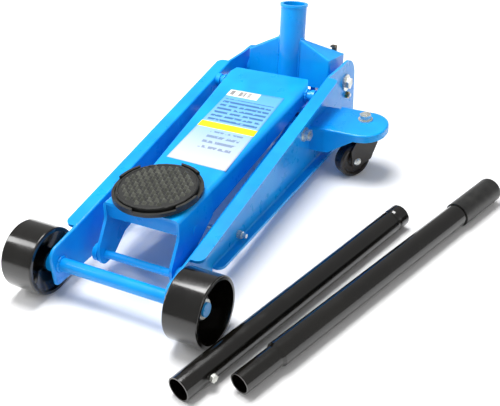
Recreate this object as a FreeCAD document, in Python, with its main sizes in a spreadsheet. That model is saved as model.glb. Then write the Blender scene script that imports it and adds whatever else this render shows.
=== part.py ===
import FreeCAD, Part
import os
import Sketcher

# Hydraulic trolley jack with its two-piece handle lying on the floor beside it, in millimetres.
# +Y runs from the saddle end back to the handle socket and +Z is up. Left and right are as seen by
# someone who faces the saddle end: right is +X. The origin is on the floor under the front axle's middle.

doc = FreeCAD.newDocument("trolley_jack")
VECTOR = FreeCAD.Vector
X_AXIS, Y_AXIS, Z_AXIS = VECTOR(1, 0, 0), VECTOR(0, 1, 0), VECTOR(0, 0, 1)
BACKWARDS = VECTOR(-1, 0, 0)    # a turn about it leans a piece towards the rear
CLOCKWISE = VECTOR(0, 0, -1)    # a turn about it swings +Y towards +X
SIDES = {"left": -1, "right": 1}

# ---------------------------------------------------------------- driving dimensions
DIMENSIONS = {
    "run_gap": 0.05,            # radial clearance of a hinge pin
    "slide_gap": 0.4,           # between parts that slide or turn past each other
    "open_pivot_gap": 0.4,      # round the lower rod, where the linkage loop is left open
    "sheet": 4.5,               # side plate thickness
    "web_inner": 92.6,
    "top_flange_wide": 23.0,
    "base_flange_wide": 19.5,
    "flange_front_y": 44.5,
    "flange_rear_y": 504.0,
    "flange_front_z": 86.0,
    "flange_rise": 0.125,       # height gained per millimetre of length
    "flange_round": 11.0,
    "base_front_y": 96.0,
    "base_rear_y": 585.0,
    "base_front_z": 36.6,       # top of the bottom flange
    "base_fall": 0.051,
    "bend_radius": 6.0,
    "nose_front_y": -18.5,
    "nose_foot_z": 21.0,
    "ear_radius": 37.0,
    "ear_rear": 42.0,           # from the yoke bolt back to the ear's edge
    "tie_y": 172.0,
    "tie_clear": 0.5,           # under the link rods
    "tie_radius": 3.5,
    "ear_bolt_radius": 3.5,
    "wheel_radius": 50.0,
    "wheel_wide": 53.0,
    "wheel_inner_x": 107.2,
    "rim_wall": 5.6,
    "axle_radius": 10.0,
    "hub_radius": 17.0,
    "hub_long": 30.0,
    "dish_start": 6.0,
    "dish_depth": 16.0,
    "hub_inset": 3.0,
    "disc_wall": 5.0,
    "arm_pivot_y": 458.6,
    "arm_pivot_z": 128.0,
    "arm_front_y": 99.0,
    "arm_rear_y": 484.0,
    "arm_rear_z": 144.0,
    "arm_slope": 0.104,
    "arm_front_half": 53.0,
    "arm_rear_half": 78.5,
    "arm_sheet": 4.5,
    "arm_round": 8.0,
    "arm_rear_clip": 13.0,
    "shaft_radius": 6.5,
    "boss_radius": 9.0,
    "boss_reach": 85.0,
    "crank_long": 57.0,
    "crank_half": 16.0,
    "crank_thick": 8.0,
    "crank_pin_radius": 7.0,
    "crank_angle": 22.0,        # behind straight down when the arm is lowered
    "pin_y": 113.0,
    "pin_z": 78.0,
    "pin_radius": 7.0,
    "link_pivot_y": 402.5,
    "link_pivot_z": 88.5,
    "link_bolt_radius": 6.0,
    "link_eye_radius": 13.5,
    "link_thick": 7.0,
    "link_wide": 18.0,
    "link_gap": 3.5,            # washer between the bracket's lobe and the link's eye
    "rod_radius": 6.0,
    "bracket_half": 63.5,
    "bracket_front_y": 75.4,
    "bracket_rear_y": 163.0,
    "bracket_top_z": 117.7,
    "bracket_sheet": 4.5,
    "bracket_round": 7.0,
    "lobe_radius": 15.0,
    "saddle_y": 123.1,
    "saddle_radius": 66.0,
    "saddle_thick": 6.0,
    "pad_radius": 59.0,
    "pad_thick": 7.0,
    "claw_high": 7.5,
    "claw_wall": 4.0,
    "saddle_turn": 28.0,
    "stem_radius": 11.0,
    "stem_ring_thick": 3.0,
    "yoke_y": 576.0,
    "yoke_z": 101.5,
    "yoke_lean": 12.0,
    "yoke_half": 79.0,
    "yoke_front": 36.0,
    "yoke_rear": 27.0,
    "yoke_shoulder": 43.5,
    "yoke_peak": 72.0,
    "yoke_foot": 8.0,
    "roof_edge": 7.0,           # depth of the level strip behind the front gable
    "yoke_sheet": 4.0,
    "socket_ahead": 25.2,
    "socket_top": 130.2,
    "socket_foot": 10.0,
    "socket_outer": 22.5,
    "socket_bore": 19.0,
    "socket_lip": 23.9,
    "lip_high": 5.0,
    "cheek_radius": 21.0,
    "yoke_bolt_radius": 8.0,
    "yoke_washer_radius": 15.0,
    "spacer_radius": 17.0,
    "lever_x": 37.0,
    "lever_long": 40.0,
    "lever_thick": 9.0,
    "roller_radius": 7.0,
    "caster_x_right": 175.4,
    "caster_x_left": 134.0,     # on a short pan, close to its plate
    "caster_y": 473.9,
    "caster_top_z": 95.0,
    "caster_seam_x": 123.0,
    "caster_tip_right": 217.0,
    "caster_tip_left": 154.0,
    "caster_front_y": 419.5,
    "caster_rear_y": 503.0,
    "caster_sheet": 4.0,
    "caster_round_right": 38.0,
    "caster_round_left": 20.0,
    "caster_deep_z": 52.0,
    "caster_shallow_right": 82.0,
    "caster_shallow_left": 87.0,
    "stub_step": 1.5,
    "caster_wheel_radius": 30.0,
    "caster_wheel_wide": 22.0,
    "caster_trail": 25.0,
    "caster_turn_right": 33.0,
    "caster_turn_left": 15.0,
    "fork_sheet": 2.5,
    "fork_top_z": 85.0,
    "fork_play": 1.5,
    "stem_bolt_radius": 6.0,
    "rivet_radius": 4.0,
    "unit_z": 74.0,
    "block_front_y": 502.0,
    "block_rear_y": 530.0,
    "block_half": 48.0,
    "block_foot_z": 44.0,
    "block_top_z": 90.0,
    "cylinder_radius": 25.0,
    "cylinder_front_y": 496.0,
    "tail_radius": 13.0,
    "tail_rear_y": 571.0,
    "ram_radius": 9.0,
    "clevis_front_y": 465.0,
    "clevis_rear_y": 494.0,
    "slot_foot_z": 63.4,
    "slot_top_z": 90.8,
    "ram_rear_y": 565.0,
    "slot_play": 1.6,
    "plunger_radius": 6.0,
    "plunger_end_gap": 0.6,
    "valve_x": -32.0,
    "valve_z": 62.0,
    "valve_radius": 6.0,
    "tube_radius": 17.5,
    "tube_wall": 2.0,
    "lower_x": 166.5,
    "lower_y": -110.0,
    "lower_long": 468.0,
    "lower_turn": 14.6,
    "upper_x": 230.6,
    "upper_y": -72.0,
    "upper_long": 556.0,
    "upper_turn": 16.7,
    "groove_depth": 1.6,
    "grip_long": 90.0,
    "grip_wall": 2.0,
    "grip_end_thick": 4.0,
    "swage_radius": 15.0,
    "swage_long": 62.0,
    "tube_screw_radius": 3.0,
    "screw_inset": 41.0,
    "screw_head": 6.0,
}

Dims = doc.addObject("Spreadsheet::Sheet", "Dims")
for row, (name, value) in enumerate(DIMENSIONS.items(), start=1):
    Dims.set(f"A{row}", name)
    Dims.set(f"B{row}", str(value))
    Dims.setAlias(f"B{row}", name)
doc.recompute()

PARTS = []


# ---------------------------------------------------------------- small helpers
def sized(text):
    """An expression over the sheet's names: each word that is one of them gets the sheet's name before it."""
    words = []
    word = ""
    for letter in str(text) + " ":
        if letter.isalnum() or letter == "_":
            word += letter
            continue
        words.append(f"Dims.{word}" if word in DIMENSIONS else word)
        words.append(letter)
        word = ""
    return "".join(words).strip()


def bind(item, **settings):
    """Binds properties of a document object to expressions over the sheet."""
    for name, text in settings.items():
        item.setExpression(name.replace("__", "."), sized(text))


def place(item, at=("0", "0", "0"), axis=None, turn="0"):
    """Puts an object at a place given by expressions, turned about an axis by an angle in degrees."""
    if axis is not None:
        item.Placement = FreeCAD.Placement(VECTOR(), FreeCAD.Rotation(axis, 10))
        bind(item, Placement__Rotation__Angle=turn)
    bind(item, Placement__Base__x=at[0], Placement__Base__y=at[1], Placement__Base__z=at[2])
    return item


def keep(item, label):
    """Marks an object as one piece of the jack, which is written to its own file."""
    item.Label = label
    PARTS.append(item)
    return item


def new_body(label):
    return keep(doc.addObject("PartDesign::Body", label), label)


def new_sketch(body, plane, offset="0"):
    """A sketch on one of the body's origin planes, moved along the plane's normal."""
    sketch = body.newObject("Sketcher::SketchObject", "Sketch")
    origin_plane = [item for item in body.Origin.OriginFeatures if item.Role == plane + "_Plane"][0]
    sketch.AttachmentSupport = [(origin_plane, "")]
    sketch.MapMode = "FlatFace"
    bind(sketch, AttachmentOffset__Base__z=offset)
    return sketch


def pin_point(sketch, edge, point, place_2d):
    """Ties a sketch point to the sketch's origin with two driven distances."""
    for kind, text in zip(("DistanceX", "DistanceY"), place_2d):
        index = sketch.addConstraint(Sketcher.Constraint(kind, -1, 1, edge, point, 1.0))
        sketch.setExpression(f"Constraints[{index}]", sized(text))


def outline(body, plane, points, offset="0"):
    """A closed outline of straight edges through points given as pairs of expressions."""
    sketch = new_sketch(body, plane, offset)
    count = len(points)
    for index in range(count):
        start = VECTOR(index, index * index, 0)
        end = VECTOR((index + 1) % count, ((index + 1) % count) ** 2, 0)
        sketch.addGeometry(Part.LineSegment(start, end), False)
    for index in range(count):
        sketch.addConstraint(Sketcher.Constraint("Coincident", index, 2, (index + 1) % count, 1))
    for index, place_2d in enumerate(points):
        pin_point(sketch, index, 1, place_2d)
    return sketch


def circles(body, plane, centres, radius, offset="0"):
    """Circles of one radius, each at a pair of expressions."""
    sketch = new_sketch(body, plane, offset)
    for index, centre in enumerate(centres):
        sketch.addGeometry(Part.Circle(VECTOR(10 * index, 5, 0), Z_AXIS, 3), False)
        pin_point(sketch, index, 3, centre)
        bound = sketch.addConstraint(Sketcher.Constraint("Radius", index, 3.0))
        sketch.setExpression(f"Constraints[{bound}]", sized(radius))
    return sketch


def pad(body, sketch, length, both_ways=False, backwards=False):
    feature = body.newObject("PartDesign::Pad", "Pad")
    feature.Profile = sketch
    feature.Midplane = both_ways
    feature.Reversed = backwards
    bind(feature, Length=length)
    return feature


def pocket(body, sketch, length=None, both_ways=False, backwards=False):
    """A cut to a depth, or through everything when no depth is given."""
    feature = body.newObject("PartDesign::Pocket", "Pocket")
    feature.Profile = sketch
    feature.Midplane = both_ways
    feature.Reversed = backwards
    if length is None:
        feature.Type = "ThroughAll"
    else:
        bind(feature, Length=length)
    return feature


def revolve(body, sketch, about="H_Axis"):
    feature = body.newObject("PartDesign::Revolution", "Turned")
    feature.Profile = sketch
    feature.ReferenceAxis = (sketch, [about])
    feature.Angle = 360
    return feature


def corner_edges(body, sketch, corners):
    """The straight edges that run along the sketch's normal through its numbered corners."""
    doc.recompute()
    normal = sketch.Placement.Rotation.multVec(Z_AXIS)
    names = []
    for corner in corners:
        foot = sketch.Placement.multVec(sketch.Geometry[corner].StartPoint)
        for number, edge in enumerate(body.Tip.Shape.Edges, start=1):
            if edge.Curve.TypeId != "Part::GeomLine":
                continue
            start, end = (vertex.Point for vertex in edge.Vertexes)
            along = (end - start).normalize()
            if abs(along.dot(normal)) < 0.999:
                continue
            away = start - foot
            if (away - normal * away.dot(normal)).Length < 0.01:
                names.append(f"Edge{number}")
    return names


def round_corners(body, sketch, corners, radius):
    base = body.Tip
    names = corner_edges(body, sketch, corners)
    if not names:
        raise ValueError(f"{body.Label}: no edge at the corners {corners}")
    feature = body.newObject("PartDesign::Fillet", "Fillet")
    feature.Base = (base, names)
    bind(feature, Radius=radius)
    return feature


def round_where(body, test, radius):
    """Rounds the edges for which test(edge) is true."""
    doc.recompute()
    base = body.Tip
    names = [f"Edge{number}" for number, edge in enumerate(base.Shape.Edges, start=1) if test(edge)]
    if not names:
        raise ValueError(f"{body.Label}: no edge to round")
    feature = body.newObject("PartDesign::Fillet", "Fillet")
    feature.Base = (base, names)
    bind(feature, Radius=radius)
    return feature


def rod(radius, length, at, axis="X", label=None):
    """A plain cylinder from a point along +X, +Y or +Z."""
    item = doc.addObject("Part::Cylinder", label or "Rod")
    bind(item, Radius=radius, Height=length)
    turned = {"X": (Y_AXIS, "90"), "Y": (X_AXIS, "-90"), "Z": (None, "0")}[axis]
    place(item, at, *turned)
    return keep(item, label) if label else item


def hexagon(across_corners, length, at, axis="X"):
    item = doc.addObject("Part::Prism", "Hexagon")
    item.Polygon = 6
    bind(item, Circumradius=across_corners, Height=length)
    turned = {"X": (Y_AXIS, "90"), "Y": (X_AXIS, "-90"), "Z": (None, "0")}[axis]
    return place(item, at, *turned)


def fused(items, label=None):
    item = doc.addObject("Part::MultiFuse", label or "Union")
    item.Shapes = items
    return keep(item, label) if label else item


def cut(base, tool, label=None):
    item = doc.addObject("Part::Cut", label or "Cut")
    item.Base = base
    item.Tool = tool
    return keep(item, label) if label else item


def ring(outer, inner, length, at, axis="X", label=None):
    return cut(rod(outer, length, at, axis), rod(inner, length, at, axis), label)


def group(items, label):
    """Identical loose pieces that share one file as separate solids."""
    item = doc.addObject("Part::Compound", label)
    item.Links = items
    return keep(item, label)


def both(text, sign):
    """An x position given for the right side, taken to the left when the sign is negative."""
    return f"({text}) * {sign}"


def span_start(inner, outer, sign):
    """Where a piece that lies between two x distances from the middle starts along +X."""
    return f"({inner})" if sign > 0 else f"-({outer})"


def middle(edge):
    return edge.valueAt((edge.FirstParameter + edge.LastParameter) / 2)


def runs_along(edge, direction):
    return edge.Curve.TypeId == "Part::GeomLine" and abs(edge.tangentAt(edge.FirstParameter).dot(direction)) > 0.98


# ---------------------------------------------------------------- places that several pieces share
ROD_Y = "(pin_y + link_pivot_y - arm_pivot_y)"
LINK_FALL = "((arm_pivot_z - pin_z) / (arm_pivot_y - pin_y))"
TIE_Z = (f"(link_pivot_z - (link_pivot_y - tie_y) * {LINK_FALL}"
         f" - (link_wide / 2 + tie_radius + tie_clear) * sqrt(1 + {LINK_FALL} ^ 2))")
ROD_Z = "(pin_z + link_pivot_z - arm_pivot_z)"
WEB_OUTER = "(web_inner + sheet)"
LINK_INNER = "(bracket_half + link_gap)"
LINK_OUTER = "(bracket_half + link_gap + link_thick)"
ARM_TAPER = "((arm_rear_half - arm_front_half) / (arm_rear_y - arm_front_y))"
CRANK_PIN_Y = "(arm_pivot_y + crank_long * sin(crank_angle))"
PLUNGER_Z = "(yoke_z - lever_long * cos(yoke_lean))"
PLUNGER_REAR = "(yoke_y - lever_long * sin(yoke_lean) - roller_radius - plunger_end_gap)"
EAR_BOLT_Y = "(yoke_y + 3)"
EAR_BOLT_Z = "(yoke_z - 25)"
AXLE_HALF = "(wheel_inner_x + hub_inset + hub_long + 6)"


def flange_top(y):
    """Height of the top flange's upper face at a place along the jack."""
    return f"(flange_front_z + (({y}) - flange_front_y) * flange_rise)"


def base_top(y):
    """Height of the bottom flange's upper face at a place along the jack."""
    return f"(base_front_z - (({y}) - base_front_y) * base_fall)"


def arm_top(y):
    return f"(arm_rear_z - (arm_rear_y - ({y})) * arm_slope)"


def arm_half(y):
    return f"(arm_front_half + (({y}) - arm_front_y) * {ARM_TAPER})"


# ---------------------------------------------------------------- chassis
def side_plate(side):
    """Pressed channel: an upright web with both flanges turned outwards, a nose for the axle and an ear for the yoke."""
    sign = SIDES[side]
    body = new_body(f"side_plate_{side}")
    inner = both("web_inner", sign)
    web = outline(body, "YZ", [
        ("nose_front_y", "nose_foot_z"),
        ("base_front_y - 6", "base_front_z - base_flange_wide"),
        ("base_front_y", "base_front_z - sheet"),
        ("base_rear_y", base_top("base_rear_y") + " - sheet"),
        ("yoke_y + ear_rear - 7", base_top("base_rear_y") + " - sheet + 2"),
        ("yoke_y + ear_rear", "yoke_z"),
        ("yoke_y + ear_rear", "yoke_z + ear_radius"),
        ("yoke_y - ear_radius / 2", "yoke_z + ear_radius"),
        ("flange_rear_y", flange_top("flange_rear_y")),
        ("flange_front_y", "flange_front_z"),
        ("nose_front_y", "flange_front_z - 6"),
    ], inner)
    pad(body, web, "sheet", backwards=sign < 0)
    round_corners(body, web, [6], "ear_radius - 1")
    round_corners(body, web, [10], "flange_round * 1.6")
    round_corners(body, web, [0, 1], "flange_round * 0.7")
    top = outline(body, "YZ", [
        ("flange_front_y", "flange_front_z - sheet"),
        ("flange_rear_y", flange_top("flange_rear_y") + " - sheet"),
        ("flange_rear_y", flange_top("flange_rear_y")),
        ("flange_front_y", "flange_front_z"),
    ], inner)
    pad(body, top, "top_flange_wide", backwards=sign < 0)
    base = outline(body, "YZ", [
        ("base_front_y", "base_front_z - sheet"),
        ("base_rear_y", base_top("base_rear_y") + " - sheet"),
        ("base_rear_y", base_top("base_rear_y")),
        ("base_front_y", "base_front_z"),
    ], inner)
    pad(body, base, "base_flange_wide", backwards=sign < 0)
    web_outer = Dims.web_inner + Dims.sheet

    def flange_end(edge):
        return runs_along(edge, Z_AXIS) and abs(middle(edge).x) > web_outer + 5

    def outer_bend(edge):
        return (runs_along(edge, Y_AXIS) and edge.Length > 300 and middle(edge).z > 70
                and abs(abs(middle(edge).x) - Dims.web_inner) < 0.1)

    def inner_bend(edge):
        return runs_along(edge, Y_AXIS) and edge.Length > 300 and abs(abs(middle(edge).x) - web_outer) < 0.1

    round_where(body, flange_end, "flange_round")
    round_where(body, inner_bend, "bend_radius / 2")
    round_where(body, outer_bend, "bend_radius / 2")
    for centre, radius in [
        (("0", "wheel_radius"), "axle_radius"),
        (("arm_pivot_y", "arm_pivot_z"), "shaft_radius"),
        (("link_pivot_y", "link_pivot_z"), "link_bolt_radius"),
        (("yoke_y", "yoke_z"), "yoke_bolt_radius"),
        (("tie_y", TIE_Z), "tie_radius"),
        ((EAR_BOLT_Y, EAR_BOLT_Z), "ear_bolt_radius"),
    ]:
        pocket(body, circles(body, "YZ", [centre], radius), "web_inner * 3", both_ways=True)


def chassis_rods():
    rod("axle_radius", f"2 * {AXLE_HALF}", (f"-{AXLE_HALF}", "0", "wheel_radius"), "X", "front_axle")
    rod("shaft_radius", f"2 * {WEB_OUTER}", (f"-{WEB_OUTER}", "arm_pivot_y", "arm_pivot_z"), "X", "arm_pivot_shaft")
    rod("tie_radius", f"2 * ({WEB_OUTER} + 14)", (f"-({WEB_OUTER} + 14)", "tie_y", TIE_Z), "X", "tie_rod")
    cradle = new_body("unit_cradle")
    plate = outline(cradle, "XY", [
        ("-web_inner", "block_front_y - 6"), ("web_inner", "block_front_y - 6"),
        ("web_inner", "block_rear_y + 24"), ("-web_inner", "block_rear_y + 24"),
    ], "block_foot_z - 6")
    pad(cradle, plate, "6")


def axle_fittings():
    collars = []
    rings = []
    for sign in SIDES.values():
        start = span_start(WEB_OUTER, "(wheel_inner_x + hub_inset - slide_gap)", sign)
        collars.append(ring("axle_radius + 4.5", "axle_radius", f"wheel_inner_x + hub_inset - slide_gap - {WEB_OUTER}",
                            (start, "0", "wheel_radius")))
        start = span_start(f"({AXLE_HALF} - 5.4)", f"({AXLE_HALF} - 3.4)", sign)
        rings.append(ring("axle_radius + 4", "axle_radius", "2", (start, "0", "wheel_radius")))
    group(collars, "axle_collars")
    group(rings, "axle_retaining_rings")


def flanged_nuts(name, y, z, bolt_radius, washer_radius, nut_radius):
    """A washer and hexagon nut on each side plate's outer face, bored to the bolt's own size."""
    nuts = []
    thick = f"(2.4 + {nut_radius} * 0.8)"
    for sign in SIDES.values():
        start = span_start(WEB_OUTER, f"({WEB_OUTER} + {thick})", sign)
        washer = rod(washer_radius, "2.4", (span_start(WEB_OUTER, f"({WEB_OUTER} + 2.4)", sign), y, z))
        nut = fused([washer, hexagon(nut_radius, thick, (start, y, z))])
        nuts.append(cut(nut, rod(bolt_radius, thick, (start, y, z))))
    group(nuts, f"{name}_nuts")


def link_bolts():
    """The rear pivots of the parallel links, each a shouldered bolt through the web."""
    bolts = []
    for sign in SIDES.values():
        inner = f"({LINK_INNER} - slide_gap - 5)"
        outer = f"({WEB_OUTER} + 13)"
        head_outer = f"({LINK_INNER} - slide_gap)"
        shank = rod("link_bolt_radius", f"{outer} - {inner}",
                    (span_start(inner, outer, sign), "link_pivot_y", "link_pivot_z"))
        head = rod("link_bolt_radius + 4", f"{head_outer} - {inner}",
                   (span_start(inner, head_outer, sign), "link_pivot_y", "link_pivot_z"))
        start = f"({LINK_OUTER} + slide_gap)"
        shoulder = rod("link_bolt_radius + 5", f"web_inner - {start}",
                       (span_start(start, "web_inner", sign), "link_pivot_y", "link_pivot_z"))
        bolts.append(fused([shank, head, shoulder]))
    group(bolts, "link_pivot_bolts")
    flanged_nuts("link_bolt", "link_pivot_y", "link_pivot_z", "link_bolt_radius", "link_bolt_radius + 6",
                 "(link_bolt_radius + 4.5)")


def ear_bolts():
    """A small bolt low in each ear, with its head inside the web and a nut outside."""
    bolts = []
    nuts = []
    for sign in SIDES.values():
        inner = "(web_inner - 3)"
        outer = f"({WEB_OUTER} + 8)"
        shank = rod("ear_bolt_radius", f"{outer} - {inner}", (span_start(inner, outer, sign), EAR_BOLT_Y, EAR_BOLT_Z))
        head = rod("ear_bolt_radius + 2.5", "3", (span_start(inner, "web_inner", sign), EAR_BOLT_Y, EAR_BOLT_Z))
        bolts.append(fused([shank, head]))
        start = (span_start(WEB_OUTER, f"({WEB_OUTER} + 5)", sign), EAR_BOLT_Y, EAR_BOLT_Z)
        nuts.append(cut(hexagon("ear_bolt_radius + 3", "5", start), rod("ear_bolt_radius", "5", start)))
    group(bolts, "ear_bolts")
    group(nuts, "ear_nuts")


def shaft_spacers():
    spacers = []
    for sign in SIDES.values():
        start = "(boss_reach + slide_gap)"
        spacers.append(ring("boss_radius + 2", "shaft_radius", f"web_inner - {start}",
                            (span_start(start, "web_inner", sign), "arm_pivot_y", "arm_pivot_z")))
    group(spacers, "arm_shaft_spacers")


def yoke_bolts():
    """The two bolts that the handle socket swings on, each from a big washer outside to a nut inside the yoke."""
    bolts = []
    washers = []
    spacers = []
    nuts = []
    place_yz = ("yoke_y", "yoke_z")
    for sign in SIDES.values():
        nut_inner = "(yoke_half - yoke_sheet - slide_gap - 7)"
        nut_outer = "(yoke_half - yoke_sheet - slide_gap)"
        washer_outer = f"({WEB_OUTER} + 3)"
        head_outer = f"({WEB_OUTER} + 3 + 6.5)"
        shank = rod("yoke_bolt_radius", f"{washer_outer} - {nut_inner} + 2",
                    (span_start(f"({nut_inner} - 2)", washer_outer, sign), *place_yz))
        head = hexagon("yoke_bolt_radius * 1.3", "6.5", (span_start(washer_outer, head_outer, sign), *place_yz))
        bolts.append(fused([shank, head]))
        washers.append(ring("yoke_washer_radius", "yoke_bolt_radius", "3",
                            (span_start(WEB_OUTER, washer_outer, sign), *place_yz)))
        spacer_inner = "(yoke_half + slide_gap)"
        spacers.append(ring("spacer_radius", "yoke_bolt_radius", f"web_inner - {spacer_inner}",
                            (span_start(spacer_inner, "web_inner", sign), *place_yz)))
        start = (span_start(nut_inner, nut_outer, sign), *place_yz)
        nuts.append(cut(hexagon("yoke_bolt_radius * 1.6", "7", start), rod("yoke_bolt_radius", "7", start)))
    group(bolts, "yoke_pivot_bolts")
    group(washers, "yoke_pivot_washers")
    group(spacers, "yoke_pivot_spacers")
    group(nuts, "yoke_pivot_nuts")


# ---------------------------------------------------------------- front wheels
def front_wheel(side):
    """A deep steel wheel: rim, coned disc and hub tube, turned about X from its inner face outwards."""
    body = new_body(f"front_wheel_{side}")
    rim_inner = "wheel_radius - rim_wall"
    bore = "axle_radius + run_gap"
    profile = outline(body, "XY", [
        ("0", "wheel_radius"), ("wheel_wide", "wheel_radius"), ("wheel_wide", rim_inner),
        ("dish_start + disc_wall", rim_inner), ("dish_start + dish_depth + disc_wall", "hub_radius"),
        ("hub_inset + hub_long", "hub_radius"), ("hub_inset + hub_long", bore),
        ("hub_inset", bore), ("hub_inset", "hub_radius"),
        ("dish_start + dish_depth", "hub_radius"), ("dish_start", rim_inner), ("0", rim_inner),
    ])
    revolve(body, profile)

    def rim_edge(edge):
        return edge.Curve.TypeId == "Part::GeomCircle" and abs(edge.Curve.Radius - Dims.wheel_radius) < 0.01

    round_where(body, rim_edge, "rim_wall / 2.5")
    sign = SIDES[side]
    place(body, (both("wheel_inner_x", sign), "0", "wheel_radius"), Z_AXIS, "0" if sign > 0 else "180")


# ---------------------------------------------------------------- lift arm
def arm_block(label, inset):
    """The arm's wedge shape, drawn in by a distance all round; open below when it is drawn in."""
    body = doc.addObject("PartDesign::Body", label)
    reach = "60" if inset else "0"
    wall = "arm_sheet" if inset else "0"
    foot = "pin_z - 15"
    side_view = outline(body, "YZ", [
        (f"arm_front_y - {reach}", arm_top(f"arm_front_y - {reach}") + f" - {wall}"),
        (f"arm_front_y - {reach}", f"{foot} - {reach}"),
        ("pin_y + 17", f"{foot} - {reach}"),
        ("link_pivot_y - 16", f"link_pivot_z + link_eye_radius + 3 - {reach}"),
        ("arm_pivot_y - 20", f"arm_pivot_z - boss_radius - 4 - {reach}"),
        (f"arm_rear_y + {reach}", f"arm_pivot_z - boss_radius - 4 - {reach}"),
        (f"arm_rear_y + {reach}", arm_top(f"arm_rear_y + {reach}") + f" - {wall}"),
    ])
    pad(body, side_view, "arm_rear_half * 2 + 10", both_ways=True)
    if not inset:
        round_corners(body, side_view, [1, 2], "13")
    for sign in SIDES.values():
        beside = outline(body, "XY", [
            (both(arm_half("arm_front_y - 90") + f" - {wall}", sign), "arm_front_y - 90"),
            (both(arm_half("arm_rear_y + 90") + f" - {wall}", sign), "arm_rear_y + 90"),
            (both("arm_rear_half + 40", sign), "arm_rear_y + 90"),
            (both("arm_rear_half + 40", sign), "arm_front_y - 90"),
        ])
        pocket(body, beside, "arm_rear_z * 4", both_ways=True)
    drop = Dims.arm_sheet if inset else 0.0

    def top_edge(edge):
        point = middle(edge)
        top = Dims.arm_rear_z - (Dims.arm_rear_y - point.y) * Dims.arm_slope - drop
        return abs(point.x) > 30 and abs(point.z - top) < 0.1 and edge.Length > 300

    round_where(body, top_edge, f"arm_round - {wall}")
    return body


def lift_arm():
    """An inverted channel that widens towards its rear pivot, folded from one sheet."""
    outside = arm_block("Arm_outside", False)
    clip = pocket(outside, outline(outside, "XY", [
        ("arm_rear_half - arm_rear_clip", "arm_rear_y + 5"),
        ("arm_rear_half + 10", "arm_rear_y + 5"),
        ("arm_rear_half + 10", "arm_rear_y - arm_rear_clip * 1.6"),
        ("arm_rear_half - 1", "arm_rear_y - arm_rear_clip * 1.6"),
    ]), "arm_rear_z * 4", both_ways=True)
    doc.recompute()
    mirror = outside.newObject("PartDesign::Mirrored", "Other_corner")
    mirror.Originals = [clip]
    mirror.MirrorPlane = (clip.Profile[0], ["V_Axis"])
    outside.Tip = mirror
    for centre, radius in [
        (("arm_pivot_y", "arm_pivot_z"), "boss_radius"),
        (("pin_y", "pin_z"), "pin_radius + run_gap"),
    ]:
        pocket(outside, circles(outside, "YZ", [centre], radius), "arm_rear_half * 3", both_ways=True)
    cut(outside, arm_block("Arm_inside", True), "lift_arm")


def arm_crank():
    """Two ears welded to the arm's hub tube, with the pin that the ram pushes."""
    ring("boss_radius", "shaft_radius + run_gap", "2 * boss_reach", ("-boss_reach", "arm_pivot_y", "arm_pivot_z"),
         "X", "arm_hub_tube")
    ears = []
    for side, sign in SIDES.items():
        body = doc.addObject("PartDesign::Body", f"Ear_{side}")
        ear = outline(body, "YZ", [
            ("-boss_radius - 5", "-4"), ("boss_radius + 5", "-4"),
            ("crank_pin_radius + 4", "-crank_long - crank_pin_radius - 3"),
            ("-crank_pin_radius - 4", "-crank_long - crank_pin_radius - 3"),
        ], both("crank_half", sign))
        pad(body, ear, "crank_thick", backwards=sign < 0)
        round_corners(body, ear, [2, 3], "crank_pin_radius + 2")
        hub = circles(body, "YZ", [("0", "0")], "boss_radius")
        pocket(body, hub, "crank_half * 6", both_ways=True)
        eye = circles(body, "YZ", [("0", "-crank_long")], "crank_pin_radius")
        pocket(body, eye, "crank_half * 6", both_ways=True)
        ears.append(place(body, ("0", "arm_pivot_y", "arm_pivot_z"), X_AXIS, "crank_angle"))
    group(ears, "crank_ears")
    rod("crank_pin_radius", "2 * (crank_half + crank_thick + 3)",
        ("-(crank_half + crank_thick + 3)", CRANK_PIN_Y, "arm_pivot_z - crank_long * cos(crank_angle)"), "X", "crank_pin")


# ---------------------------------------------------------------- saddle bracket, links and saddle
def saddle_bracket():
    """The level carrier at the arm's front end: an inverted channel whose cheeks run down to a cross rod."""
    body = new_body("saddle_bracket")
    side_view = outline(body, "YZ", [
        ("bracket_front_y", "bracket_top_z"),
        ("bracket_front_y - 3", "bracket_top_z - 27"),
        (f"{ROD_Y} - lobe_radius + 2", f"{ROD_Z} + 16"),
        (f"{ROD_Y} - lobe_radius", f"{ROD_Z} - lobe_radius"),
        (f"{ROD_Y} + lobe_radius", f"{ROD_Z} - lobe_radius"),
        ("pin_y + 4", "pin_z - 25"),
        ("bracket_rear_y", "pin_z - 3"),
        ("bracket_rear_y", "bracket_top_z"),
    ])
    pad(body, side_view, "bracket_half * 2", both_ways=True)
    round_corners(body, side_view, [3, 4], "lobe_radius - 1.5")
    round_corners(body, side_view, [1, 2], "20")
    round_corners(body, side_view, [5, 6], "10")

    def top_edge(edge):
        point = middle(edge)
        return runs_along(edge, Y_AXIS) and abs(point.z - Dims.bracket_top_z) < 0.1

    round_where(body, top_edge, "bracket_round")
    inner = "(bracket_half - bracket_sheet)"
    inside = outline(body, "XZ", [
        (f"-{inner}", "0"), (inner, "0"), (inner, "bracket_top_z - bracket_sheet"),
        (f"-{inner}", "bracket_top_z - bracket_sheet"),
    ])
    pocket(body, inside, "bracket_rear_y * 4", both_ways=True)
    round_corners(body, inside, [2, 3], "bracket_round - bracket_sheet")
    for centre, radius in [
        ((ROD_Y, ROD_Z), "rod_radius"),
        (("pin_y", "pin_z"), "pin_radius"),
    ]:
        pocket(body, circles(body, "YZ", [centre], radius), "bracket_half * 3", both_ways=True)
    stem_hole = circles(body, "XY", [("0", "saddle_y")], "stem_radius + run_gap", "bracket_top_z - 20")
    pocket(body, stem_hole, "40", backwards=True)


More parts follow.
